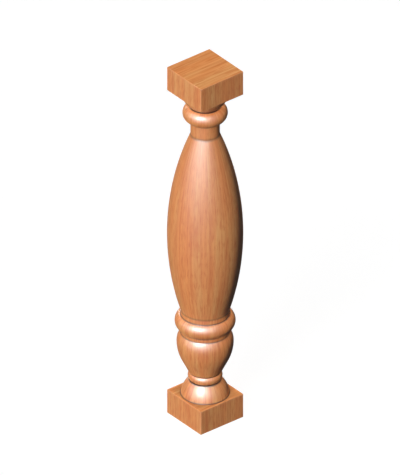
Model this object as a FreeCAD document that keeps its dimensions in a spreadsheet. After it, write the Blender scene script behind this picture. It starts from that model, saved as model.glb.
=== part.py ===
import FreeCAD, Part
import math
import os
import Sketcher

# A stair baluster: one piece of hardwood, turned between a square foot block and a square top block.
# The foot stands on the XY plane, the turning axis is +Z and every size is in millimetres.

# Driving sizes, from the foot up. The belly's height is what the other heights leave of the length.
SIZES = {
    "overall_length": 750.0,
    "block_side": 100.0,
    "block_height": 50.0,
    "block_ledge": 5.0,
    "arris_width": 1.0,
    "bell_height": 29.5,
    "bell_top_diameter": 59.0,
    "bell_arc_radius": 50.0,
    "ring_height": 18.0,
    "ring_core_diameter": 51.0,
    "ring_projection": 6.5,
    "urn_base_diameter": 61.0,
    "urn_taper_length": 31.3,
    "urn_flank_height": 65.5,
    "urn_diameter": 105.0,
    "urn_shoulder_height": 20.0,
    "collar_diameter": 91.0,
    "lower_collar_height": 9.0,
    "bead_height": 30.0,
    "bead_projection": 10.5,
    "upper_collar_height": 10.5,
    "belly_diameter": 140.0,
    "neck_diameter": 54.0,
    "neck_height": 30.5,
    "neck_bead_ledge": 2.0,
    "neck_bead_height": 30.5,
    "neck_bead_projection": 12.75,
    "top_bell_height": 27.5,
}

# Radii and heights that follow from the driving sizes, as formulas on the sheet's own names.
BELL_RADIUS = "Sizes.block_side / 2 - Sizes.block_ledge"
BELL_TOP_RADIUS = "Sizes.bell_top_diameter / 2"
RING_CORE_RADIUS = "Sizes.ring_core_diameter / 2"
RING_RADIUS = "Sizes.ring_core_diameter / 2 + Sizes.ring_projection"
URN_BASE_RADIUS = "Sizes.urn_base_diameter / 2"
URN_RADIUS = "Sizes.urn_diameter / 2"
COLLAR_RADIUS = "Sizes.collar_diameter / 2"
BEAD_RADIUS = "Sizes.collar_diameter / 2 + Sizes.bead_projection"
BELLY_RADIUS = "Sizes.belly_diameter / 2"
NECK_RADIUS = "Sizes.neck_diameter / 2"
NECK_BEAD_CORE_RADIUS = "Sizes.neck_diameter / 2 + Sizes.neck_bead_ledge"
NECK_BEAD_RADIUS = "Sizes.neck_diameter / 2 + Sizes.neck_bead_ledge + Sizes.neck_bead_projection"
TOP_BLOCK_LEVEL = "Sizes.overall_length - Sizes.block_height"
BELLY_HEIGHT = (
    "(Sizes.overall_length - 2 * Sizes.block_height - Sizes.bell_height - Sizes.ring_height"
    " - Sizes.urn_flank_height - Sizes.urn_shoulder_height - Sizes.lower_collar_height - Sizes.bead_height"
    " - Sizes.upper_collar_height - Sizes.neck_height - Sizes.neck_bead_height - Sizes.top_bell_height)"
)

# The belly's arc is drawn in even spans: where they meet, as parts of its height.
BELLY_SPAN_ENDS = (1 / 4, 1 / 2, 3 / 4, 1)

# How a sketch numbers the points of a run, its own two axes and its origin.
START, END, CENTRE = range(1, 4)
LEVEL_AXIS, UPRIGHT_AXIS = range(-1, -3, -1)
ORIGIN = (LEVEL_AXIS, START)

doc = FreeCAD.newDocument("stair_baluster")

sheet = doc.addObject("Spreadsheet::Sheet", "Sizes")
for row, (alias, value) in enumerate(SIZES.items(), start=1):
    sheet.set(f"A{row}", alias)
    sheet.set(f"B{row}", str(value))
    sheet.setAlias(f"B{row}", alias)
doc.recompute()

body = doc.addObject("PartDesign::Body", "Baluster")
body.Label = "baluster"
body.Placement = FreeCAD.Placement(FreeCAD.Vector(0, 0, 0), FreeCAD.Rotation())


def worked_out(formula):
    """The number that a formula on the sheet's names gives now."""
    return float(sheet.evalExpression(formula))


def new_sketch(name, plane_role):
    """An empty sketch on one of the body's own origin planes."""
    planes = body.Origin.OriginFeatures
    plane = next(feature for feature in planes if feature.Role == plane_role)
    sketch = body.newObject("Sketcher::SketchObject", name)
    sketch.AttachmentSupport = (plane, [""])
    sketch.MapMode = "FlatFace"
    return sketch


def constrain(sketch, kind, *places):
    """A constraint with no size."""
    sketch.addConstraint(Sketcher.Constraint(kind, *places))


def dimension(sketch, name, formula, kind, *places):
    """A named dimension that stays bound to the sheet."""
    number = sketch.addConstraint(Sketcher.Constraint(kind, *places, worked_out(formula)))
    sketch.renameConstraint(number, name)
    sketch.setExpression(f"Constraints.{name}", formula)


def add_block(name, level):
    """A square end block, padded up from the given level on the turning axis."""
    sketch = new_sketch(f"{name}Square", "XY_Plane")
    sketch.setExpression("AttachmentOffset.Base.z", level)
    half = worked_out("Sizes.block_side") / 2
    turns = [(-1, -1), (1, -1), (1, 1), (-1, 1)]
    corners = [FreeCAD.Vector(half * x, half * y, 0) for x, y in turns]
    for side in range(4):
        sketch.addGeometry(Part.LineSegment(corners[side], corners[(side + 1) % 4]))
    for side in range(4):
        constrain(sketch, "Coincident", side, END, (side + 1) % 4, START)
        constrain(sketch, "Vertical" if side % 2 else "Horizontal", side)
    constrain(sketch, "Equal", 0, 1)
    constrain(sketch, "Symmetric", 0, START, 1, END, *ORIGIN)
    dimension(sketch, "side", "Sizes.block_side", "DistanceX", 0, START, 0, END)

    block = body.newObject("PartDesign::Pad", name)
    block.Profile = sketch
    block.setExpression("Length", "Sizes.block_height")
    doc.recompute()


class Outline:
    """Half of the turned outline, drawn as one chain of runs, each from the last one's end."""

    def __init__(self, sketch, radius, level):
        self.sketch = sketch
        self.tip = FreeCAD.Vector(radius, level, 0)
        self.last = None

    def _join(self, run, end, joint):
        if self.last is not None:
            constrain(self.sketch, joint, self.last, END, run, START)
        self.last = run
        self.tip = end
        return run

    def line(self, radius, level):
        """A straight run to a point."""
        end = FreeCAD.Vector(radius, level, 0)
        run = self.sketch.addGeometry(Part.LineSegment(self.tip, end))
        return self._join(run, end, "Coincident")

    def across(self, radius):
        """A flat shoulder, square to the axis."""
        run = self.line(radius, self.tip.y)
        constrain(self.sketch, "Horizontal", run)
        return run

    def upright(self, level):
        """A plain cylinder."""
        run = self.line(self.tip.x, level)
        constrain(self.sketch, "Vertical", run)
        return run

    def round(self, radius, level, centre, joint="Coincident"):
        """A round run up to a point, swelling away from the axis about the given centre."""
        end = FreeCAD.Vector(radius, level, 0)
        circle = Part.Circle(centre, FreeCAD.Vector(0, 0, 1), (end - centre).Length)
        first = math.atan2(self.tip.y - centre.y, self.tip.x - centre.x)
        final = math.atan2(end.y - centre.y, end.x - centre.x)
        run = self.sketch.addGeometry(Part.ArcOfCircle(circle, first, final))
        return self._join(run, end, joint)

    def sweep(self, radius, level, arc_radius):
        """A round run to a point, of the given radius: its centre lies square to its chord."""
        chord = FreeCAD.Vector(radius, level, 0) - self.tip
        outward = FreeCAD.Vector(chord.y, -chord.x, 0).normalize()
        depth = math.sqrt(arc_radius**2 - chord.Length**2 / 4)
        centre = self.tip + chord * 0.5 - outward * depth
        return self.round(radius, level, centre)

    def swell_centre(self, radius, level, widest):
        """Centre of the arc from here to a point that is no wider than a set radius at its widest place.

        With arc radius R, the widest place a climb above the start, and below and above saying how far the
        two ends lie inside the widest radius: climb^2 = 2 R below - below^2, and likewise from the upper end.
        """
        below = widest - self.tip.x
        above = widest - radius
        rise = level - self.tip.y
        reach = rise**2 + above**2 - below * above
        climb = reach / (rise + math.sqrt(rise**2 + (above / below - 1) * reach))
        arc_radius = (climb**2 + below**2) / (2 * below)
        return FreeCAD.Vector(widest - arc_radius, self.tip.y + climb, 0)

    def widest_place(self, name, run, centre, formula):
        """Set how far the widest place of a run's circle lies from the axis."""
        spot = FreeCAD.Vector(worked_out(formula), centre.y, 0)
        crest = self.sketch.addGeometry(Part.Point(spot), True)
        constrain(self.sketch, "PointOnObject", crest, START, run)
        constrain(self.sketch, "Horizontal", crest, START, run, CENTRE)
        dimension(self.sketch, name, formula, "DistanceX", *ORIGIN, crest, START)

    def bead(self, name, level, formula):
        """A half-round run straight up to a level, with a set radius at its widest place."""
        centre = self.swell_centre(self.tip.x, level, worked_out(formula))
        run = self.round(self.tip.x, level, centre)
        constrain(self.sketch, "Vertical", run, START, run, END)
        self.widest_place(name, run, centre, formula)
        return run

    def radius_at_end(self, name, run, formula):
        """Set how far a run's upper end lies from the axis."""
        dimension(self.sketch, name, formula, "DistanceX", *ORIGIN, run, END)

    def height_of(self, name, run, formula):
        """Set how far a run climbs."""
        dimension(self.sketch, name, formula, "DistanceY", run, START, run, END)


def add_turning():
    """Everything between the two blocks, turned in one go about the vertical axis."""
    sketch = new_sketch("TurnedOutline", "XZ_Plane")

    foot = worked_out("Sizes.block_height")
    bell_top = foot + worked_out("Sizes.bell_height")
    ring_top = bell_top + worked_out("Sizes.ring_height")
    urn_widest = ring_top + worked_out("Sizes.urn_flank_height")
    urn_top = urn_widest + worked_out("Sizes.urn_shoulder_height")
    bead_foot = urn_top + worked_out("Sizes.lower_collar_height")
    bead_top = bead_foot + worked_out("Sizes.bead_height")
    belly_foot = bead_top + worked_out("Sizes.upper_collar_height")
    top = worked_out(TOP_BLOCK_LEVEL)
    neck_bead_top = top - worked_out("Sizes.top_bell_height")
    neck_bead_foot = neck_bead_top - worked_out("Sizes.neck_bead_height")

    outline = Outline(sketch, 0, foot)
    seat = outline.across(worked_out(BELL_RADIUS))
    outline.radius_at_end("bell_radius", seat, BELL_RADIUS)
    dimension(sketch, "foot_level", "Sizes.block_height", "DistanceY", *ORIGIN, seat, START)

    # The bell swells up from the foot block and ends in a narrow flat shoulder under the ring.
    bell = outline.sweep(worked_out(BELL_TOP_RADIUS), bell_top, worked_out("Sizes.bell_arc_radius"))
    outline.radius_at_end("bell_top_radius", bell, BELL_TOP_RADIUS)
    outline.height_of("bell_height", bell, "Sizes.bell_height")
    dimension(sketch, "bell_arc_radius", "Sizes.bell_arc_radius", "Radius", bell)

    # The ring is a small bead, cut in deeper than the bell below it and the urn above it.
    under_ring = outline.across(worked_out(RING_CORE_RADIUS))
    outline.radius_at_end("ring_core_radius", under_ring, RING_CORE_RADIUS)
    ring = outline.bead("ring_radius", ring_top, RING_RADIUS)
    outline.height_of("ring_height", ring, "Sizes.ring_height")
    under_urn = outline.across(worked_out(URN_BASE_RADIUS))
    outline.radius_at_end("urn_base_radius", under_urn, URN_BASE_RADIUS)

    # The urn opens with a straight taper, runs into a long round flank and closes over a short shoulder.
    urn_radius = worked_out(URN_RADIUS)
    taper_length = worked_out("Sizes.urn_taper_length")
    opening = urn_radius - outline.tip.x
    flank_height = urn_widest - ring_top
    flank_radius = (opening**2 + flank_height**2 - taper_length**2) / (2 * opening)
    flank_centre = FreeCAD.Vector(urn_radius - flank_radius, urn_widest, 0)
    from_centre = outline.tip - flank_centre
    turn = math.atan2(from_centre.y, from_centre.x) + math.atan2(taper_length, flank_radius)
    taper_end = flank_centre + FreeCAD.Vector(math.cos(turn), math.sin(turn), 0) * flank_radius
    taper = outline.line(taper_end.x, taper_end.y)
    flank = outline.round(urn_radius, urn_widest, flank_centre, joint="Tangent")
    constrain(sketch, "Horizontal", flank, CENTRE, flank, END)
    outline.radius_at_end("urn_radius", flank, URN_RADIUS)
    dimension(sketch, "urn_taper_length", "Sizes.urn_taper_length", "Distance", taper, START, taper, END)
    dimension(sketch, "urn_flank_height", "Sizes.urn_flank_height", "DistanceY", taper, START, flank, END)

    collar_radius = worked_out(COLLAR_RADIUS)
    closing = urn_radius - collar_radius
    shoulder_radius = (closing**2 + (urn_top - urn_widest) ** 2) / (2 * closing)
    shoulder_centre = FreeCAD.Vector(urn_radius - shoulder_radius, urn_widest, 0)
    shoulder = outline.round(collar_radius, urn_top, shoulder_centre, joint="Tangent")
    outline.radius_at_end("collar_radius", shoulder, COLLAR_RADIUS)
    outline.height_of("urn_shoulder_height", shoulder, "Sizes.urn_shoulder_height")

    # The main bead stands between two short collars of one diameter.
    lower_collar = outline.upright(bead_foot)
    outline.height_of("lower_collar_height", lower_collar, "Sizes.lower_collar_height")
    bead = outline.bead("bead_radius", bead_top, BEAD_RADIUS)
    outline.height_of("bead_height", bead, "Sizes.bead_height")
    upper_collar = outline.upright(belly_foot)
    outline.height_of("upper_collar_height", upper_collar, "Sizes.upper_collar_height")

    # The belly is one long arc from the collar to the neck, in spans about one centre.
    neck_radius = worked_out(NECK_RADIUS)
    belly_radius = worked_out(BELLY_RADIUS)
    belly_height = worked_out(BELLY_HEIGHT)
    centre = outline.swell_centre(neck_radius, belly_foot + belly_height, belly_radius)
    arc_radius = belly_radius - centre.x
    spans = []
    for part in BELLY_SPAN_ENDS:
        level = belly_foot + belly_height * part
        span_radius = centre.x + math.sqrt(arc_radius**2 - (level - centre.y) ** 2)
        spans.append(outline.round(span_radius, level, centre))
    for number, (span, part) in enumerate(zip(spans[:-1], BELLY_SPAN_ENDS), start=1):
        constrain(sketch, "Coincident", span, CENTRE, spans[-1], CENTRE)
        height = f"{BELLY_HEIGHT} * {part}"
        dimension(sketch, f"belly_span_{number}", height, "DistanceY", spans[0], START, span, END)
    outline.widest_place("belly_radius", spans[0], centre, BELLY_RADIUS)
    outline.radius_at_end("neck_radius", spans[-1], NECK_RADIUS)

    # The neck carries a bead that stands on a narrow ledge at both ends.
    neck = outline.upright(neck_bead_foot)
    outline.height_of("neck_height", neck, "Sizes.neck_height")
    ledge = outline.across(worked_out(NECK_BEAD_CORE_RADIUS))
    outline.radius_at_end("neck_bead_core_radius", ledge, NECK_BEAD_CORE_RADIUS)
    neck_bead = outline.bead("neck_bead_radius", neck_bead_top, NECK_BEAD_RADIUS)
    outline.height_of("neck_bead_height", neck_bead, "Sizes.neck_bead_height")
    over_bead = outline.across(neck_radius)
    outline.radius_at_end("top_bell_neck_radius", over_bead, NECK_RADIUS)

    # The top bell is the lower one upside down: it spreads from the neck to the top block.
    bell_arc_radius = worked_out("Sizes.bell_arc_radius")
    top_bell = outline.sweep(worked_out(BELL_RADIUS), top, bell_arc_radius)
    outline.radius_at_end("top_bell_radius", top_bell, BELL_RADIUS)
    outline.height_of("top_bell_height", top_bell, "Sizes.top_bell_height")
    dimension(sketch, "top_bell_arc_radius", "Sizes.bell_arc_radius", "Radius", top_bell)
    dimension(sketch, "top_level", TOP_BLOCK_LEVEL, "DistanceY", *ORIGIN, top_bell, END)

    # The outline closes along the turning axis.
    lid = outline.across(0)
    axis = outline.upright(foot)
    constrain(sketch, "Coincident", axis, END, seat, START)
    constrain(sketch, "PointOnObject", lid, END, UPRIGHT_AXIS)

    turning = body.newObject("PartDesign::Revolution", "Turning")
    turning.Profile = sketch
    turning.ReferenceAxis = (sketch, ["V_Axis"])
    turning.Angle = 360
    doc.recompute()


def ease_block_edges():
    """Take the sharp arris off every edge of both blocks."""
    base = body.Tip
    half = worked_out("Sizes.block_side") / 2
    foot = worked_out("Sizes.block_height")
    top = worked_out(TOP_BLOCK_LEVEL)
    near = 0.01
    edges = []
    for number, edge in enumerate(base.Shape.Edges, start=1):
        middle = edge.BoundBox.Center
        on_side = abs(max(abs(middle.x), abs(middle.y)) - half) < near
        on_block = middle.z < foot + near or middle.z > top - near
        if isinstance(edge.Curve, Part.Line) and on_side and on_block:
            edges.append(f"Edge{number}")
    easing = body.newObject("PartDesign::Chamfer", "EasedEdges")
    easing.Base = (base, edges)
    easing.setExpression("Size", "Sizes.arris_width")
    doc.recompute()


def check_and_write():
    """Stop if any step failed; otherwise write the finished piece."""
    for thing in doc.Objects:
        if "Invalid" in thing.State or "Error" in thing.State:
            raise RuntimeError(f"{thing.Name} failed: {thing.State}")
    shape = body.Shape
    if shape.isNull() or not shape.isValid() or len(shape.Solids) != 1:
        raise RuntimeError("the baluster is not one valid solid")
    os.makedirs("parts", exist_ok=True)
    shape.exportStep(f"parts/{body.Label}.step")
    print(body.Label, "volume", round(shape.Volume), "mm3, box", shape.BoundBox)


add_block("FootBlock", "0")
add_turning()
add_block("TopBlock", TOP_BLOCK_LEVEL)
ease_block_edges()
check_and_write()
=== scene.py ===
import math

import bpy
import numpy as np
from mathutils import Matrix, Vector


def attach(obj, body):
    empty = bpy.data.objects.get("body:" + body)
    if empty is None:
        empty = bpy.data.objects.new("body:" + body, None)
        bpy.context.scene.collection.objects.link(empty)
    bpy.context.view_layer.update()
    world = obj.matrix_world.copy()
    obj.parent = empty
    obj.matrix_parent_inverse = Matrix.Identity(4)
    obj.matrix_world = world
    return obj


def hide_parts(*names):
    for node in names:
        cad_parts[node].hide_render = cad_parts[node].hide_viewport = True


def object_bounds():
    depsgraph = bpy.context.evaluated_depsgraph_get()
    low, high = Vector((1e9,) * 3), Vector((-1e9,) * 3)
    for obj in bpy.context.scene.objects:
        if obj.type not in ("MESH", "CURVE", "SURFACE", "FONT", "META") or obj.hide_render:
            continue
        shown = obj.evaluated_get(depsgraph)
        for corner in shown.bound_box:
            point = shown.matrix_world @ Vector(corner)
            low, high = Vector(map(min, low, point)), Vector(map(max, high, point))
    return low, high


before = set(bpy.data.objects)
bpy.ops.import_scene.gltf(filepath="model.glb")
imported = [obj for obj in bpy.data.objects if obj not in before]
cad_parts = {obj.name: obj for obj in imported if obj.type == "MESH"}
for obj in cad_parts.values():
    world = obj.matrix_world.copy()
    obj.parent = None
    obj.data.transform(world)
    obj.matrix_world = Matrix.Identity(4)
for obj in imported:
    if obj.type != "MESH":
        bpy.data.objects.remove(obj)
cad_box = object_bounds()

# The turned shaft: hardwood, cut on a lathe between the square blocks at its two ends. From the foot up it
# is a bell, a ring, an urn, a collar with a bead, the belly, the neck with its bead, and a second bell
# upside down. Every corner the chisel leaves is softened by sandpaper.
MM = 0.001
BLOCK_SIDE = 100 * MM
BLOCK_HEIGHT = 50 * MM
BLOCK_LEDGE = 5 * MM
SHELF = 1.5 * MM
BELL_HEIGHT = 29.5 * MM
BELL_TOP_RADIUS = 29.5 * MM
BELL_ARC = 50 * MM
RING_HEIGHT = 18 * MM
RING_CORE_RADIUS = 25.5 * MM
RING_PROJECTION = 6.5 * MM
URN_BASE_RADIUS = 30.5 * MM
URN_RADIUS = 52.5 * MM
URN_TAPER = 31.3 * MM
URN_FLANK_HEIGHT = 65.5 * MM
URN_SHOULDER_HEIGHT = 20 * MM
COLLAR_RADIUS = 45.5 * MM
LOWER_COLLAR_HEIGHT = 9 * MM
BEAD_HEIGHT = 30 * MM
BEAD_PROJECTION = 10.5 * MM
UPPER_COLLAR_HEIGHT = 10.5 * MM
BELLY_RADIUS = 70 * MM
NECK_RADIUS = 27 * MM
NECK_HEIGHT = 30.5 * MM
NECK_LEDGE = 2 * MM
NECK_BEAD_HEIGHT = 30.5 * MM
NECK_BEAD_PROJECTION = 12.75 * MM
TOP_BELL_HEIGHT = 27.5 * MM
LENGTH = cad_box[1].z - cad_box[0].z


def bulge(drop, height):
    """Radius of the arc that leaves its widest place upright and falls in by drop over height:
    (drop squared plus height squared) over twice the drop."""
    return (drop ** 2 + height ** 2) / (2 * drop)


def along(start, end, radius, share):
    """Points of a run at these shares of its way: a straight line, or with a radius an arc that swells
    away from the axis, its centre set back from the chord's middle by the root of radius squared less
    half the chord squared."""
    start = np.array(start)
    chord = np.array(end) - start
    share = np.asarray(share)[:, None]
    if radius is None:
        return start + share * chord
    half = np.hypot(*chord) / 2
    outward = np.array([chord[1], -chord[0]]) / (2 * half)
    centre = start + chord / 2 - outward * math.sqrt(radius ** 2 - half ** 2)
    middle = math.atan2(outward[1], outward[0])
    half_angle = math.asin(half / radius)
    angle = middle - half_angle + 2 * half_angle * share
    return centre + radius * np.hstack([np.cos(angle), np.sin(angle)])


# Levels of the turned forms, each from the one beside it: up from the foot block, down from the top one.
bell_level = BLOCK_HEIGHT
ring_level = bell_level + BELL_HEIGHT
urn_level = ring_level + RING_HEIGHT
urn_wide_level = urn_level + URN_FLANK_HEIGHT
collar_level = urn_wide_level + URN_SHOULDER_HEIGHT
bead_level = collar_level + LOWER_COLLAR_HEIGHT
upper_collar_level = bead_level + BEAD_HEIGHT
belly_level = upper_collar_level + UPPER_COLLAR_HEIGHT
top_block_level = LENGTH - BLOCK_HEIGHT
top_bell_level = top_block_level - TOP_BELL_HEIGHT
neck_bead_level = top_bell_level - NECK_BEAD_HEIGHT
neck_level = neck_bead_level - NECK_HEIGHT

# The urn's straight taper runs into its flank: the point where the line from its foot touches
# the flank's arc.
flank_drop = URN_RADIUS - URN_BASE_RADIUS
flank_arc = (flank_drop ** 2 + URN_FLANK_HEIGHT ** 2 - URN_TAPER ** 2) / (2 * flank_drop)
urn_foot = np.array([URN_BASE_RADIUS, urn_level])
to_centre = np.array([URN_RADIUS - flank_arc, urn_wide_level]) - urn_foot
reach = np.hypot(*to_centre)
ahead = to_centre / reach
aside = np.array([ahead[1], -ahead[0]])
taper_end = urn_foot + URN_TAPER * (URN_TAPER * ahead + flank_arc * aside) / reach

# The belly is one arc through both its ends and its widest radius: its widest level solves the two drops.
low_drop = BELLY_RADIUS - COLLAR_RADIUS
high_drop = BELLY_RADIUS - NECK_RADIUS
belly_height = neck_level - belly_level
drop_gap = high_drop - low_drop
root = math.sqrt(low_drop * high_drop * (belly_height ** 2 + drop_gap ** 2))
belly_arc = bulge(low_drop, (root - low_drop * belly_height) / drop_gap)

bell_radius = BLOCK_SIDE / 2 - BLOCK_LEDGE
neck_bead_core = NECK_RADIUS + NECK_LEDGE
# Where each run of the outline ends, the radius of its arc, or None for a straight one, and its rows.
# The first and last runs are narrow shelves on the blocks' inner ends.
shaft_start = (bell_radius + SHELF, bell_level)
shaft_runs = [
    ((bell_radius, bell_level), None, 3),
    ((BELL_TOP_RADIUS, ring_level), BELL_ARC, 26),
    ((RING_CORE_RADIUS, ring_level), None, 4),
    ((RING_CORE_RADIUS, urn_level), bulge(RING_PROJECTION, RING_HEIGHT / 2), 28),
    ((URN_BASE_RADIUS, urn_level), None, 4),
    (tuple(taper_end), None, 9),
    ((URN_RADIUS, urn_wide_level), flank_arc, 22),
    ((COLLAR_RADIUS, collar_level), bulge(URN_RADIUS - COLLAR_RADIUS, URN_SHOULDER_HEIGHT), 16),
    ((COLLAR_RADIUS, bead_level), None, 5),
    ((COLLAR_RADIUS, upper_collar_level), bulge(BEAD_PROJECTION, BEAD_HEIGHT / 2), 36),
    ((COLLAR_RADIUS, belly_level), None, 5),
    ((NECK_RADIUS, neck_level), belly_arc, 96),
    ((NECK_RADIUS, neck_bead_level), None, 8),
    ((neck_bead_core, neck_bead_level), None, 3),
    ((neck_bead_core, top_bell_level), bulge(NECK_BEAD_PROJECTION, NECK_BEAD_HEIGHT / 2), 36),
    ((NECK_RADIUS, top_bell_level), None, 3),
    ((bell_radius, top_block_level), BELL_ARC, 24),
    ((bell_radius + SHELF, top_block_level), None, 3),
]
run_corners = [shaft_start] + [end for end, radius, steps in shaft_runs]

# Each run stops short of its corners, and a quadratic curve with the corner as its handle joins it to
# the next: (1 - t) squared times the one end, 2 t (1 - t) times the corner and t squared times the other.
CORNER_EASE = 0.4 * MM
CORNER_STEPS = 6
bend = np.linspace(0, 1, CORNER_STEPS + 1)[1:-1, None]
pieces_of_outline = []
joins = []
for number, (start, (end, radius, steps)) in enumerate(zip(run_corners, shaft_runs)):
    length = math.dist(start, end)
    first = CORNER_EASE / length if number else 0
    last = 1 - CORNER_EASE / length if number < len(shaft_runs) - 1 else 1
    run = along(start, end, radius, np.linspace(first, last, steps))
    if number:
        corner = np.array(start)
        before = pieces_of_outline[-1][-1]
        after = run[0]
        curve = (1 - bend) ** 2 * before + 2 * bend * (1 - bend) * corner + bend ** 2 * after
        way_in = (corner - before) / np.hypot(*(corner - before))
        way_out = (after - corner) / np.hypot(*(after - corner))
        sine = way_in[0] * way_out[1] - way_in[1] * way_out[0]
        middle_row = sum(map(len, pieces_of_outline)) + len(curve) // 2
        joins.append((middle_row, math.asin(np.clip(sine, -1, 1))))
        pieces_of_outline.append(curve)
    pieces_of_outline.append(run)
shaft = np.vstack(pieces_of_outline)
shaft_way = np.concatenate([[0], np.cumsum(np.hypot(*np.diff(shaft, axis=0).T))])

# How far each row lies in an inner corner, which gets painted shade, or on an outer one, which hands rub.
# It grows with the turn there as a share of a right angle, or inside with the root of that share, and fades
# as a bell curve along the outline. The level ledges by the ring and the neck's bead get the painted shade
# right across.
PAINTED_SHADE_REACH = 1.5 * MM
join_way = shaft_way[[row for row, turn in joins]]
join_turn = np.array([turn for row, turn in joins]) / (math.pi / 2)
fade = np.exp(-((shaft_way[:, None] - join_way) / PAINTED_SHADE_REACH) ** 2)
level_runs = np.flatnonzero(np.diff(np.array(run_corners)[:, 1]) == 0)
ledge_runs = level_runs[1:-1]
before_ledge = join_way[ledge_runs - 1] - shaft_way[:, None]
past_ledge = shaft_way[:, None] - join_way[ledge_runs]
from_ledge = np.maximum(np.maximum(before_ledge, past_ledge), 0).min(1)
corner_shade = (fade * np.sqrt(np.maximum(-join_turn, 0))).max(1)
shaft_painted_shade = np.maximum(corner_shade, np.exp(-(from_ledge / PAINTED_SHADE_REACH) ** 2))
shaft_rub = (fade * np.maximum(join_turn, 0)).max(1) * (1 - shaft_painted_shade)

# The square end blocks: the ends of the same piece of hardwood, sawn square and planed flat below and above
# the turning. Their long corners and the edges of their ends are eased by hand so that they don't splinter.
ARRIS_RADIUS = 1.5 * MM
END_EASE = 1.0 * MM
ARRIS_STEPS = 8
INNER_LOOP = 0.5 * MM
SIDE_SHARES = np.array([0.02, 0.06, 0.12, 0.25, 0.4, 0.6, 0.75, 0.88, 0.94, 0.98])
FLAT = BLOCK_SIDE / 2 - ARRIS_RADIUS


def block_rows(bottom, top):
    """Rows up the outside of a block, as (straight half width, corner radius, turned radius, level):
    out over the lower end, round its eased edge as a quarter circle, up the side, round the upper edge
    and in over the upper end."""
    quarter = np.linspace(0, math.pi / 2, ARRIS_STEPS + 1)
    lower_corner = ARRIS_RADIUS - END_EASE + END_EASE * np.sin(quarter)
    lower_level = bottom + END_EASE - END_EASE * np.cos(quarter)
    side_level = bottom + END_EASE + SIDE_SHARES * (top - bottom - 2 * END_EASE)
    corner = np.concatenate([lower_corner, np.full(len(side_level), ARRIS_RADIUS), lower_corner[::-1]])
    level = np.concatenate([lower_level, side_level, bottom + top - lower_level[::-1]])
    outside = np.column_stack([np.full(len(level), FLAT), corner, np.zeros(len(level)), level])
    under = [FLAT - INNER_LOOP, ARRIS_RADIUS - END_EASE, 0, bottom]
    over = [FLAT - INNER_LOOP, ARRIS_RADIUS - END_EASE, 0, top]
    return np.vstack([under, outside, over])


# The baluster's skin: foot block, shaft and top block as one closed surface, as they are one piece of wood.
# Each row is a loop of points: a square's straight sides with its rounded corners, or a turned circle.
AROUND = 160
CORNER_POINTS = 8
foot_rows = block_rows(0, BLOCK_HEIGHT)
top_rows = block_rows(top_block_level, LENGTH)
shaft_rows = np.column_stack([np.zeros((len(shaft), 2)), shaft])
foot_middle = [[0, 0, 0, 0]]
top_middle = [[0, 0, 0, LENGTH]]
rows = np.vstack([foot_middle, foot_rows, shaft_rows, top_rows, top_middle])
row_count = len(rows)
flat, rounded, turned, level = rows.T

quarter_points = AROUND // 4
side_points = quarter_points - CORNER_POINTS
side_place = np.linspace(-1, 1, side_points)
corner_turn = np.linspace(0, math.pi / 2, CORNER_POINTS + 2)[1:-1]
quarter_square = np.vstack([
    np.column_stack([np.ones(side_points), side_place]),
    np.ones((CORNER_POINTS, 2)),
])
quarter_normal = np.vstack([
    np.column_stack([np.ones(side_points), np.zeros(side_points)]),
    np.column_stack([np.cos(corner_turn), np.sin(corner_turn)]),
])
quarter_angle = np.linspace(-math.pi / 4, math.pi / 4, quarter_points, endpoint=False)
quarter_circle = np.column_stack([np.cos(quarter_angle), np.sin(quarter_angle)])


def all_round(quarter):
    """A quarter's directions carried round the axis by four right-angle turns, (x, y) to (-y, x)."""
    x, y = quarter.T
    return np.vstack([quarter, np.column_stack([-y, x]), -quarter, np.column_stack([y, -x])])


def each_row(values):
    """One value a row, shaped to multiply every point of its loop."""
    return values[:, None, None]


square = all_round(quarter_square)
normal = all_round(quarter_normal)
circle = all_round(quarter_circle)
loops = each_row(flat) * square + each_row(rounded) * normal + each_row(turned) * circle
levels = np.broadcast_to(each_row(level), loops.shape[:2] + (1,))
skin = np.concatenate([loops, levels], axis=2)

points = np.vstack([skin[0, :1], skin[1:-1].reshape(-1, 3), skin[-1, :1]])
loop_start = 1 + AROUND * np.arange(row_count - 2)[:, None]
here = loop_start + np.arange(AROUND)
beside = loop_start + np.roll(np.arange(AROUND), -1)
quads = np.stack([here[:-1], beside[:-1], beside[1:], here[1:]], axis=2).reshape(-1, 4)
foot_fan = np.column_stack([np.zeros(AROUND, int), beside[0], here[0]])
top_fan = np.column_stack([here[-1], beside[-1], np.full(AROUND, len(points) - 1)])

# What each band between two rows is part of: the turned shaft, a block's flat end or, otherwise, a block's
# side. Flats that cut across the grain, on the shaft too, show the ends of the wood's fibres.
outward = np.abs(np.diff(flat + rounded + turned))
upward = np.abs(np.diff(level))
turned_band = (turned[:-1] > 0) & (turned[1:] > 0)
on_shaft = turned_band & (level[1:] > bell_level) & (level[:-1] < top_block_level)
on_end = ~on_shaft & (outward >= upward)
cross_cut = on_end | (upward == 0)

# Where the grain lies: up the sides of the blocks and the shaft, and along X on the flat ends, where its
# places are drawn in to make its streaks wider and longer. The foot's bell with its ring, the urn with its
# bead, the belly and the neck each have a circle of their own for it, and meet at corners darkened by
# painted shade.
END_ACROSS = 0.72
END_ALONG = 0.5
GRAIN_RADII = np.array([34, 46, 66, 32]) * MM
x, y, z = np.moveaxis(skin, 2, 0)
grain_on_ends = np.stack([END_ACROSS * z, END_ACROSS * y, END_ALONG * x], axis=2)
band_middle = (level[:-1] + level[1:]) / 2
grain_radius = GRAIN_RADII[np.searchsorted([urn_level, belly_level, neck_level], band_middle)]


def grain_of_bands(first, last):
    """Grain places of one edge of every four-sided band, from rows first to last, by the band's own kind:
    its points as they lie, those of a flat end, or its level with a point of its form's circle."""
    ends_or_sides = np.where(each_row(on_end[1:-1]), grain_on_ends[first:last], skin[first:last])
    round_shaft = np.concatenate([each_row(grain_radius[1:-1]) * circle, levels[first:last]], axis=2)
    return np.where(each_row(on_shaft[1:-1]), round_shaft, ends_or_sides)


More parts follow.
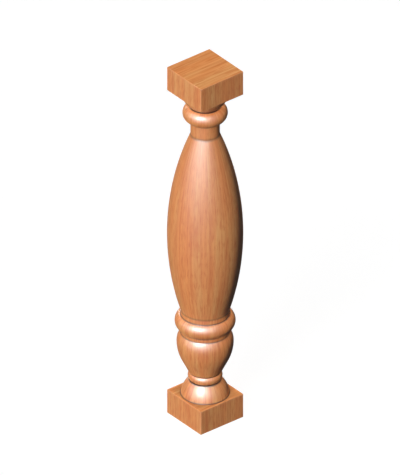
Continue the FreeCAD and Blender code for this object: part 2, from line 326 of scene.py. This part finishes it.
def next_round(places):
    """Each point's neighbour onwards round its row."""
    return np.roll(places, -1, axis=1)


lower = grain_of_bands(1, row_count - 2)
upper = grain_of_bands(2, row_count - 1)
onward_ends = next_round(grain_on_ends)
quad_grain = np.stack([lower, next_round(lower), next_round(upper), upper], axis=2).reshape(-1, 3)
foot_grain = np.stack([grain_on_ends[0], onward_ends[1], grain_on_ends[1]], axis=1).reshape(-1, 3)
top_grain = np.stack([grain_on_ends[-2], onward_ends[-2], grain_on_ends[-1]], axis=1).reshape(-1, 3)

mesh = bpy.data.meshes.new("baluster_wood")
corners = np.concatenate([quads.ravel(), foot_fan.ravel(), top_fan.ravel()])
face_sizes = np.concatenate([np.full(len(quads), 4), np.full(2 * AROUND, 3)])
mesh.vertices.add(len(points))
mesh.vertices.foreach_set("co", points.ravel())
mesh.loops.add(len(corners))
mesh.loops.foreach_set("vertex_index", corners)
mesh.polygons.add(len(face_sizes))
mesh.polygons.foreach_set("loop_start", np.concatenate([[0], np.cumsum(face_sizes)[:-1]]))
mesh.update(calc_edges=True)
mesh.validate()
mesh.shade_smooth()
grain = mesh.attributes.new("grain", "FLOAT_VECTOR", "CORNER")
grain.data.foreach_set("vector", np.vstack([quad_grain, foot_grain, top_grain]).ravel())
cut_faces = np.concatenate([np.repeat(cross_cut[1:-1], AROUND), np.ones(2 * AROUND, bool)])
mesh.polygons.foreach_set("material_index", cut_faces.astype(np.int32))

# Rubbed places and the painted shade of the shaft's inner corners and ledges, as one number each for each
# point: the shaft's own, and the blocks' eased edges, where the rub fades as a bell curve with the distance
# from the nearest edge.
ARRIS_RUB = 0.9
ARRIS_REACH = 2.0 * MM
from_arris = (1 - np.abs(square).min(1)) * FLAT
edges = np.array([0, BLOCK_HEIGHT, top_block_level, LENGTH])
from_edge = np.abs(level[:, None] - edges).min(1)[:, None]
on_block = (flat >= FLAT)[:, None]
rub = on_block * ARRIS_RUB * np.exp(-(np.minimum(from_arris, from_edge) / ARRIS_REACH) ** 2)
painted_shade = np.zeros((row_count, AROUND))
shaft_first = 1 + len(foot_rows)
shaft_slice = slice(shaft_first, shaft_first + len(shaft))
rub[shaft_slice] = shaft_rub[:, None]
painted_shade[shaft_slice] = shaft_painted_shade[:, None]
for name, amount in (("rub", rub), ("painted_shade", painted_shade)):
    values = np.concatenate([amount[0, :1], amount[1:-1].ravel(), amount[-1, :1]])
    mesh.attributes.new(name, "FLOAT", "POINT").data.foreach_set("value", values)

baluster = bpy.data.objects.new("baluster_wood", mesh)
bpy.context.scene.collection.objects.link(baluster)
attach(baluster, "root")
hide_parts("baluster")

# The wood's grain: straight-grained hardwood of a warm orange brown, with broad growth bands, long streaks
# and short darker flecks. It is paler where hands rub its edges, and its inner corners and ledges carry
# painted shade, near black.
HONEY = (0.85, 0.442, 0.157, 1)
ORANGE = (0.88, 0.364, 0.113, 1)
STREAK_BROWN = (0.71, 0.182, 0.036, 1)
FLECK_BROWN = (0.64, 0.130, 0.020, 1)
RUBBED = (0.90, 0.420, 0.170, 1)
# The near-black painted shade laid into the inner corners and on the ledges.
PAINTED_SHADE_BROWN = (0.03, 0.010, 0.005, 1)
# Cells a metre across the grain and along it, detail, roughness and waver of each kind of mark, and the
# noise's levels at which a mark starts and is full.
GROWTH_BANDS = ((75, 1.6, 2, 0.5, 0.2), (0.34, 0.66))
LONG_STREAKS = ((270, 8, 3, 0.6, 0.4), (0.36, 0.66))
SHORT_FLECKS = ((460, 55, 2, 0.5, 0.45), (0.48, 0.70))
# The share of the rubbed colour beside a streak and on it, of the painted shade in a corner, and a streak's
# depth as a share of a fleck's.
RUBBED_SHARES = (0.25, 0.55)
PAINTED_SHADE_SHARE = 0.95
STREAK_DEPTH = 0.4
WHOLE = (0, 1)
GRAIN_SOCKETS = (
    ("Place", "INPUT", "NodeSocketVector"),
    ("Rub", "INPUT", "NodeSocketFloat"),
    ("Painted Shade", "INPUT", "NodeSocketFloat"),
    ("Streak Share", "INPUT", "NodeSocketFloat"),
    ("Fleck Share", "INPUT", "NodeSocketFloat"),
    ("Color", "OUTPUT", "NodeSocketColor"),
    ("Streaks", "OUTPUT", "NodeSocketFloat"),
    ("Relief", "OUTPUT", "NodeSocketFloat"),
)
wood_grain = bpy.data.node_groups.new("wood_grain", "ShaderNodeTree")
for name, way, kind in GRAIN_SOCKETS:
    wood_grain.interface.new_socket(name, in_out=way, socket_type=kind)
tree = wood_grain


def add(kind, **settings):
    """A node of this kind in the tree being made, with its properties set."""
    node = tree.nodes.new(kind)
    for name, value in settings.items():
        setattr(node, name, value)
    return node


def join(source, target):
    """A link from one socket to another."""
    tree.links.new(source, target)


def spread(value, stretch, onto=WHOLE):
    """The value's stretch from low to high mapped evenly onto another, and held at both ends."""
    node = add("ShaderNodeMapRange")
    join(value, node.inputs["Value"])
    for name, number in zip(("From Min", "From Max", "To Min", "To Max"), (*stretch, *onto)):
        node.inputs[name].default_value = number
    return node.outputs["Result"]


def sums(operation, first, second):
    """Two values worked together by this operation; the second may be a plain number."""
    node = add("ShaderNodeMath", operation=operation)
    join(first, node.inputs[0])
    if isinstance(second, (int, float)):
        node.inputs[1].default_value = second
    else:
        join(second, node.inputs[1])
    return node.outputs["Value"]


def tint(share, under, over):
    """The colour under, with so much of the plain colour over laid on it."""
    node = add("ShaderNodeMix", data_type="RGBA")
    join(share, node.inputs["Factor"])
    if isinstance(under, tuple):
        node.inputs["A"].default_value = under
    else:
        join(under, node.inputs["A"])
    node.inputs["B"].default_value = over
    return node.outputs["Result"]


def grain_marks(cells, levels_kept):
    """Noise drawn out along the grain, so many cells a metre across it and along it and bent by its own
    waver, with the levels kept spread over the whole range from 0 to 1."""
    across, lengthwise, detail, roughness, waver = cells
    place = add("ShaderNodeMapping")
    place.inputs["Scale"].default_value = (across, across, lengthwise)
    noise = add("ShaderNodeTexNoise")
    noise.inputs["Scale"].default_value = 1
    noise.inputs["Detail"].default_value = detail
    noise.inputs["Roughness"].default_value = roughness
    noise.inputs["Distortion"].default_value = waver
    join(given.outputs["Place"], place.inputs["Vector"])
    join(place.outputs["Vector"], noise.inputs["Vector"])
    return spread(noise.outputs["Fac"], levels_kept)


given = add("NodeGroupInput")
bands = grain_marks(*GROWTH_BANDS)
streaks = grain_marks(*LONG_STREAKS)
flecks = grain_marks(*SHORT_FLECKS)
colour = tint(bands, HONEY, ORANGE)
colour = tint(sums("MULTIPLY", streaks, given.outputs["Streak Share"]), colour, STREAK_BROWN)
colour = tint(sums("MULTIPLY", flecks, given.outputs["Fleck Share"]), colour, FLECK_BROWN)
rubbed_share = spread(streaks, WHOLE, RUBBED_SHARES)
colour = tint(sums("MULTIPLY", given.outputs["Rub"], rubbed_share), colour, RUBBED)
# Painted shade: the inner corners and ledges darkened nearly to black.
colour = tint(sums("MULTIPLY", given.outputs["Painted Shade"], PAINTED_SHADE_SHARE), colour, PAINTED_SHADE_BROWN)
made = add("NodeGroupOutput")
join(colour, made.inputs["Color"])
join(streaks, made.inputs["Streaks"])
join(sums("ADD", sums("MULTIPLY", streaks, STREAK_DEPTH), flecks), made.inputs["Relief"])

# The varnish: a clear satin coat brushed over the turning and the blocks' sides, where it lies along the
# grain and keeps a soft gloss, a little duller over the streaks.
VARNISHED_STREAKS = 0.78
VARNISHED_FLECKS = 0.6
SATIN = (0.42, 0.48)
VARNISHED_DEPTH = 0.2 * MM
VARNISH_GLOSS = 1
RELIEF_STRENGTH = 0.15
WOOD_MATTNESS = 0.5
# The marks on the skin: grain places, rub, and the painted shade in corners and on ledges.
MARKS = (("grain", "Vector", "Place"), ("rub", "Fac", "Rub"), ("painted_shade", "Fac", "Painted Shade"))


def empty_tree(owner):
    """The node tree of a material or of the room, with nothing in it yet."""
    owner.use_nodes = True
    owner.node_tree.nodes.clear()
    return owner.node_tree


def lay_grain(streak_share, fleck_share):
    """The grain group in the tree being made, fed by the skin's own marks, with its streaks and flecks
    this strong."""
    node = add("ShaderNodeGroup", node_tree=wood_grain)
    for mark, output, socket in MARKS:
        join(add("ShaderNodeAttribute", attribute_name=mark).outputs[output], node.inputs[socket])
    node.inputs["Streak Share"].default_value = streak_share
    node.inputs["Fleck Share"].default_value = fleck_share
    return node.outputs


def finish_wood(colour, dullness, relief, depth, gloss):
    """The Principled shader of a wooden face: its colour, its roughness, its grain sunk by this depth
    and its gloss."""
    bump = add("ShaderNodeBump", invert=True)
    bump.inputs["Strength"].default_value = RELIEF_STRENGTH
    bump.inputs["Distance"].default_value = depth
    join(relief, bump.inputs["Height"])
    face = add("ShaderNodeBsdfPrincipled")
    face.inputs["Diffuse Roughness"].default_value = WOOD_MATTNESS
    face.inputs["Specular IOR Level"].default_value = gloss
    join(colour, face.inputs["Base Color"])
    join(dullness, face.inputs["Roughness"])
    join(bump.outputs["Normal"], face.inputs["Normal"])
    join(face.outputs["BSDF"], add("ShaderNodeOutputMaterial").inputs["Surface"])


varnished_wood = bpy.data.materials.new("varnished_wood")
tree = empty_tree(varnished_wood)
grain_look = lay_grain(VARNISHED_STREAKS, VARNISHED_FLECKS)
satin = spread(grain_look["Streaks"], WHOLE, SATIN)
finish_wood(grain_look["Color"], satin, grain_look["Relief"], VARNISHED_DEPTH, VARNISH_GLOSS)
mesh.materials.append(varnished_wood)

# The end wood: the blocks' sawn ends, the flats round the bells and the narrow ledges, all cut across the
# grain. Varnish soaks in there, so they dry a little grey and with no gloss.
DRY_GREY = (0.31, 0.23, 0.16, 1)
GREY_SHARES = (0.10, 0.16)
END_STREAKS = 0.68
END_FLECKS = 0.5
DRY = (0.75, 0.85)
END_DEPTH = 0.3 * MM
NO_GLOSS = 0
end_wood = bpy.data.materials.new("end_wood")
tree = empty_tree(end_wood)
grain_look = lay_grain(END_STREAKS, END_FLECKS)
greyed = tint(spread(grain_look["Streaks"], WHOLE, GREY_SHARES), grain_look["Color"], DRY_GREY)
dry = spread(grain_look["Streaks"], WHOLE, DRY)
finish_wood(greyed, dry, grain_look["Relief"], END_DEPTH, NO_GLOSS)
mesh.materials.append(end_wood)

# The floor: a plain white sheet under the foot. The camera sees it as white paper that still takes the
# baluster's shadow. It throws only a little light back up, and the varnish mirrors a small share of it.
FLOOR_HALF = 4.0
FLOOR_DROP = 0.5 * MM
FLOOR_GLOW = 0.76
FLOOR_WHITE = 0.35
FLOOR_BOUNCE = 0.02
GLOSS_SHARE = 0.05


def share_of_white():
    """How much of the white background a ray meets: all of it straight from the camera or through glass,
    and a small share by way of a reflection."""
    rays = add("ShaderNodeLightPath")
    straight = sums("MAXIMUM", rays.outputs["Is Camera Ray"], rays.outputs["Is Transmission Ray"])
    return sums("MAXIMUM", straight, sums("MULTIPLY", rays.outputs["Is Glossy Ray"], GLOSS_SHARE))


sheet = np.array([[-1, -1], [1, -1], [1, 1], [-1, 1]]) * FLOOR_HALF
sheet_corners = np.column_stack([sheet, np.full(len(sheet), -FLOOR_DROP)])
floor_mesh = bpy.data.meshes.new("floor")
floor_mesh.from_pydata(sheet_corners.tolist(), [], [(0, 1, 2, 3)])
floor = bpy.data.objects.new("floor", floor_mesh)
bpy.context.scene.collection.objects.link(floor)
paper = bpy.data.materials.new("white_paper")
tree = empty_tree(paper)
seen = share_of_white()
matt = add("ShaderNodeBsdfDiffuse")
join(spread(seen, WHOLE, (FLOOR_BOUNCE, FLOOR_WHITE)), matt.inputs["Color"])
glow = add("ShaderNodeEmission")
join(sums("MULTIPLY", seen, FLOOR_GLOW), glow.inputs["Strength"])
both = add("ShaderNodeAddShader")
join(matt.outputs["BSDF"], both.inputs[0])
join(glow.outputs["Emission"], both.inputs[1])
join(both.outputs["Shader"], add("ShaderNodeOutputMaterial").inputs["Surface"])
floor_mesh.materials.append(paper)

# The room beyond the floor: plain and white where the camera looks past the sheet, with the same small
# share of white in the varnish, and a dim even light on the wood.
ROOM_LIGHT = 0.04
FULL_WHITE = 1
WHITE = (1, 1, 1, 1)
room = bpy.data.worlds.new("room")
bpy.context.scene.world = room
tree = empty_tree(room)
backdrop = add("ShaderNodeBackground")
backdrop.inputs["Color"].default_value = WHITE
join(spread(share_of_white(), WHOLE, (ROOM_LIGHT, FULL_WHITE)), backdrop.inputs["Strength"])
join(backdrop.outputs["Background"], add("ShaderNodeOutputWorld").inputs["Surface"])

# The photograph's view: parallel lines stay parallel, looking down on the top block's near corner. The
# shaft's axis falls on one column of the picture's pixels, and the middle of the foot on one row.
PHOTO_WIDTH = 400
PHOTO_HEIGHT = 475
METRES_PER_PIXEL = 1.8325 * MM
AXIS_COLUMN = 205.13
FOOT_ROW = 414.65
VIEW_TURN = math.radians(-38.65)
VIEW_HEIGHT = math.radians(32.46)
VIEW_DISTANCE = 3.0
rightwards = Vector((math.cos(VIEW_TURN), math.sin(VIEW_TURN), 0))
towards_view = Vector((math.sin(VIEW_TURN), -math.cos(VIEW_TURN), 0))
to_camera = math.cos(VIEW_HEIGHT) * towards_view + Vector((0, 0, math.sin(VIEW_HEIGHT)))
aim_height = (FOOT_ROW - PHOTO_HEIGHT / 2) * METRES_PER_PIXEL / math.cos(VIEW_HEIGHT)
aim = Vector((0, 0, aim_height)) - rightwards * (AXIS_COLUMN - PHOTO_WIDTH / 2) * METRES_PER_PIXEL
eye = bpy.data.cameras.new("camera")
eye.type = "ORTHO"
eye.ortho_scale = PHOTO_HEIGHT * METRES_PER_PIXEL
camera = bpy.data.objects.new("camera", eye)
camera.location = aim + VIEW_DISTANCE * to_camera
camera.rotation_euler = (-to_camera).to_track_quat("-Z", "Y").to_euler()
bpy.context.scene.collection.objects.link(camera)
bpy.context.scene.camera = camera

# The lamps: a key lamp to the left of the camera, and a softer one in its place that throws the shadow. Two
# more there, one wide and one small, show only in the varnish. Behind, one lamp lights the wood of the far
# side and another shows in its varnish.
FULL_STRENGTH = math.pi
KEY_PLACE = (-26, 39.5)
# Degrees to the right of the camera and up from the floor, the share of the strength that shows a face
# square to the lamp in its own colour, and the degrees of sky that the lamp fills.
LAMPS = {
    "key_lamp": (*KEY_PLACE, 0.82, 8),
    "soft_lamp": (*KEY_PLACE, 0.15, 20),
    "wide_glint_lamp": (*KEY_PLACE, 2.6, 110),
    "small_glint_lamp": (*KEY_PLACE, 2.2, 20),
    "back_lamp": (165, 5, 0.75, 5),
    "back_glint_lamp": (190, 10, 0.8, 30),
}
CASTS_NO_SHADOW = ("key_lamp", "back_lamp")
VARNISH_ONLY = ("wide_glint_lamp", "small_glint_lamp", "back_glint_lamp")
WOOD_ONLY = ("back_lamp",)
for name, (turn, height, share, width) in LAMPS.items():
    light = bpy.data.lights.new(name, "SUN")
    light.energy = share * FULL_STRENGTH
    light.angle = math.radians(width)
    light.use_shadow = name not in CASTS_NO_SHADOW
    # With this off, a lamp for the varnish leaves no stray light on the wood.
    light.cycles.use_multiple_importance_sampling = name not in VARNISH_ONLY
    lamp = bpy.data.objects.new(name, light)
    lamp.visible_diffuse = name not in VARNISH_ONLY
    lamp.visible_glossy = name not in WOOD_ONLY
    turn = math.radians(turn)
    height = math.radians(height)
    level_way = math.cos(turn) * towards_view + math.sin(turn) * rightwards
    to_lamp = math.cos(height) * level_way + Vector((0, 0, math.sin(height)))
    lamp.rotation_euler = to_lamp.to_track_quat("Z", "Y").to_euler()
    bpy.context.scene.collection.objects.link(lamp)

bpy.context.scene.view_settings.view_transform = "Standard"
